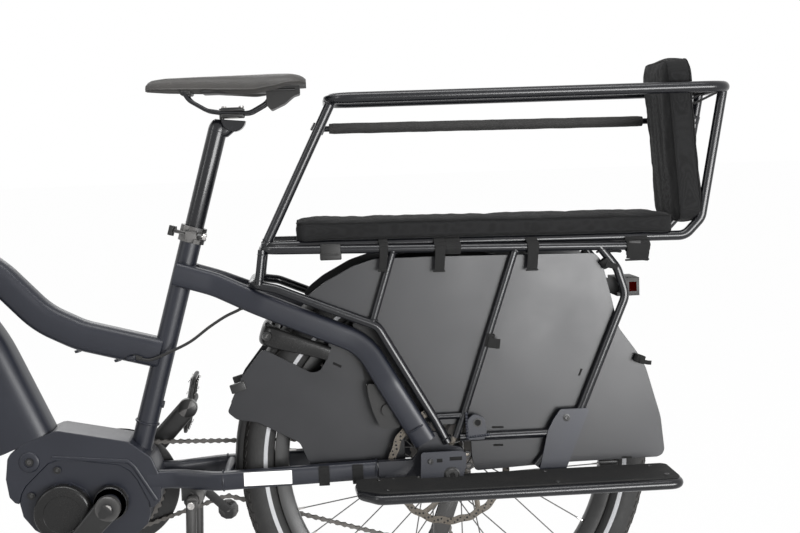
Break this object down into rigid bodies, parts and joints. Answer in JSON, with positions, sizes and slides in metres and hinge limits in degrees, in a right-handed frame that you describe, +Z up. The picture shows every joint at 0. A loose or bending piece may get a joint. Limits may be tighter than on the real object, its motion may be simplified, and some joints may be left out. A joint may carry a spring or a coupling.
{
  "type": "longtail cargo bicycle",
  "caption": "Black electric longtail cargo bicycle with railed rear bench, cushions, footboards, wheel guards and two-leg stand.",
  "frame": {"origin": "on the ground under the middle of the bicycle's length", "axes": "+Z up, -X towards the front wheel, -Y towards the left side shown in the picture"},
  "size_m": [2.0603, 0.6872, 1.0589],
  "materials": {
    "frame_paint": "matte anthracite black paint",
    "satin_tube": "satin black powder coat",
    "guard_sheet": "satin black sheet",
    "black_metal": "anodised black metal",
    "bright_steel": "brushed steel",
    "black_plastic": "matte black plastic",
    "lamp_lens": "red lens in a black case",
    "foam": "matte black foam sleeve",
    "hose_rubber": "satin black hose",
    "tyre_rubber": "matte black rubber with a pale stripe",
    "bench_cloth": "black woven cloth",
    "saddle_cover": "dark grey brown vinyl"
  },
  "bodies": {
    "frame": {"head_tube": "frame_paint", "seat_tube": "frame_paint", "top_tube": "frame_paint", "down_tube": "frame_paint", "motor_shell": "frame_paint", "motor_unit": "black_plastic", "stay_left": "frame_paint", "stay_right": "frame_paint", "chainstay_left": "frame_paint", "chainstay_right": "frame_paint", "dropout_left": "frame_paint", "dropout_right": "frame_paint", "rack_loop": "satin_tube", "brace_loop": "satin_tube", "strut_front_left": "satin_tube", "strut_front_right": "satin_tube", "strut_mid_left": "satin_tube", "strut_mid_right": "satin_tube", "rack_leg_left": "satin_tube", "rack_leg_right": "satin_tube", "guard_front_left": "guard_sheet", "guard_front_right": "guard_sheet", "guard_rear_left": "guard_sheet", "guard_rear_right": "guard_sheet", "footboard_left": "satin_tube", "footboard_right": "satin_tube", "cage_rail": "satin_tube", "cage_side_left": "satin_tube", "cage_side_right": "satin_tube", "foam_bar": "foam", "seat_cushion": "bench_cloth", "backrest": "bench_cloth", "rear_lamp": "lamp_lens", "lock_body": "black_plastic", "seat_collar": "black_metal", "chain": "bright_steel", "derailleur": "black_metal", "stand_bracket": "black_metal", "mudguard_rear": "black_plastic", "brake_hose_rear": "hose_rubber"},
    "steering": {"fork": "frame_paint", "handlebar": "black_metal", "headlamp": "black_plastic", "mudguard_front": "black_plastic"},
    "front_wheel_set": {"front_wheel": "black_metal", "front_tyre": "tyre_rubber"},
    "rear_wheel_set": {"rear_wheel": "black_metal", "rear_tyre": "tyre_rubber", "rear_rotor": "bright_steel"},
    "cranks": {"crankset": "black_metal"},
    "left_pedal": {"pedal_left": "black_plastic"},
    "right_pedal": {"pedal_right": "black_plastic"},
    "cogs": {"cassette": "bright_steel"},
    "post": {"seat_post": "satin_tube"},
    "seat": {"saddle": "saddle_cover", "saddle_rails": "black_metal"},
    "lever": {"seat_lever": "black_metal"},
    "stand": {"stand_legs": "black_metal"},
    "left_brake": {"brake_lever_left": "black_metal"},
    "right_brake": {"brake_lever_right": "black_metal"}
  },
  "joints": [
    {"name": "steering_turn", "type": "hinge", "parent": "frame", "child": "steering", "pos_m": [-0.4702, 0, 0.7974], "axis": [0.3502, 0, 0.9367], "range_deg": [-60, 60]},
    {"name": "front_wheel_spin", "type": "hinge", "parent": "steering", "child": "front_wheel_set", "pos_m": [-0.6885, 0, 0.342], "axis": [0, 1, 0], "continuous": true},
    {"name": "rear_wheel_spin", "type": "hinge", "parent": "frame", "child": "rear_wheel_set", "pos_m": [0.5515, 0, 0.342], "axis": [0, 1, 0], "continuous": true},
    {"name": "crank_spin", "type": "hinge", "parent": "frame", "child": "cranks", "pos_m": [0.0015, 0, 0.306], "axis": [0, 1, 0], "continuous": true},
    {"name": "left_pedal_spin", "type": "hinge", "parent": "cranks", "child": "left_pedal", "pos_m": [-0.11509, -0.13, 0.18228], "axis": [0, 1, 0], "continuous": true},
    {"name": "right_pedal_spin", "type": "hinge", "parent": "cranks", "child": "right_pedal", "pos_m": [0.11809, 0.13, 0.42972], "axis": [0, 1, 0], "continuous": true},
    {"name": "cog_spin", "type": "hinge", "parent": "frame", "child": "cogs", "pos_m": [0.5515, 0, 0.342], "axis": [0, 1, 0], "continuous": true},
    {"name": "seat_height", "type": "slide", "parent": "frame", "child": "post", "axis": [0.279, 0, 0.9603], "range_m": [-0.1, 0.1]},
    {"name": "saddle_tilt", "type": "hinge", "parent": "post", "child": "seat", "pos_m": [0.2235, 0, 0.916], "axis": [0, 1, 0], "range_deg": [-8, 8]},
    {"name": "seat_lever_swing", "type": "hinge", "parent": "frame", "child": "lever", "pos_m": [0.1175, -0.018, 0.741], "axis": [0.279, 0, 0.9603], "range_deg": [0, 100]},
    {"name": "stand_swing", "type": "hinge", "parent": "frame", "child": "stand", "pos_m": [0.1315, 0, 0.3], "axis": [0, -1, 0], "range_deg": [0, 79]},
    {"name": "left_brake_pull", "type": "hinge", "parent": "steering", "child": "left_brake", "pos_m": [-0.5014, -0.2024, 1.0161], "axis": [-0.1708, 0.083, 0.9818], "range_deg": [0, 12], "stiffness_Nm_per_rad": 0.8},
    {"name": "right_brake_pull", "type": "hinge", "parent": "steering", "child": "right_brake", "pos_m": [-0.5014, 0.2024, 1.0161], "axis": [0.1708, 0.083, -0.9818], "range_deg": [0, 12], "stiffness_Nm_per_rad": 0.8}
  ],
  "couplings": [
    {"joint": "cog_spin", "follows": "crank_spin", "ratio": 3.4545}
  ]
}
